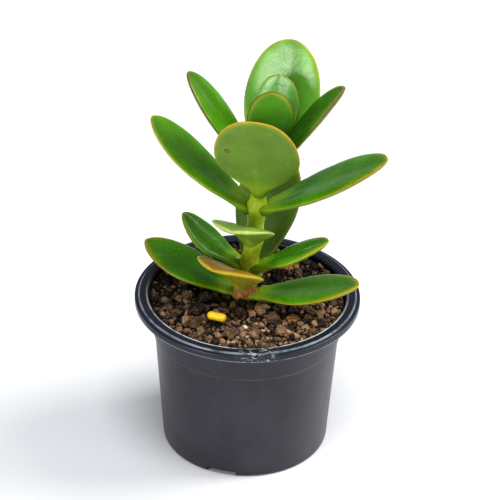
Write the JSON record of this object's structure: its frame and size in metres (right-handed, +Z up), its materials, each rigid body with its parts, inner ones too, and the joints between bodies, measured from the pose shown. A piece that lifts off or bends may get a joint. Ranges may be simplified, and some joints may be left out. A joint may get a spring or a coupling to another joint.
{
  "type": "potted jade plant",
  "caption": "Young jade plant with crossed pairs of fleshy oval leaves on one upright stem, rooted in crumbly soil in a thin-walled round nursery pot with a turned-down lip.",
  "frame": {"origin": "centre of the pot's underside, on the surface the pot stands on", "axes": "+Z up along the pot's axis and the stem; +X to the viewer's right; +Y away from the viewer"},
  "size_m": [0.0977, 0.0904, 0.1672],
  "materials": {
    "pot_plastic": "charcoal, satin, lightly scuffed on the lip",
    "soil": "moist crumbly potting soil, brown",
    "bark": "rough orange-brown bark chip",
    "pellet": "smooth waxy yellow",
    "grit": "white mineral grain",
    "stem": "fleshy yellow-green, woody brown at the foot",
    "leaf": "fleshy waxy green with a thin red-brown to yellow rim",
    "leaf_sunburnt": "fleshy leaf burnt orange-brown by sun"
  },
  "bodies": {
    "root": {"bark_chip_1": "bark", "bark_chip_2": "bark", "bark_chip_3": "bark", "fertiliser_pellet": "pellet", "grit_grain": "grit", "leaf_1_left": "leaf", "leaf_1_right": "leaf", "leaf_2_back": "leaf", "leaf_2_front": "leaf_sunburnt", "leaf_3_left": "leaf", "leaf_3_right": "leaf", "leaf_4_front": "leaf", "leaf_5_left": "leaf", "leaf_5_right": "leaf", "leaf_6_back": "leaf", "leaf_6_front": "leaf", "leaf_7_left": "leaf", "leaf_7_right": "leaf", "leaf_8_back": "leaf", "leaf_8_front": "leaf", "pot": "pot_plastic", "shoot_tip": "leaf", "soil": "soil", "soil_clod_1": "soil", "soil_clod_10": "soil", "soil_clod_11": "soil", "soil_clod_12": "soil", "soil_clod_2": "soil", "soil_clod_3": "soil", "soil_clod_4": "soil", "soil_clod_5": "soil", "soil_clod_6": "soil", "soil_clod_7": "soil", "soil_clod_8": "soil", "soil_clod_9": "soil", "stem": "stem"}
  },
  "joints": []
}
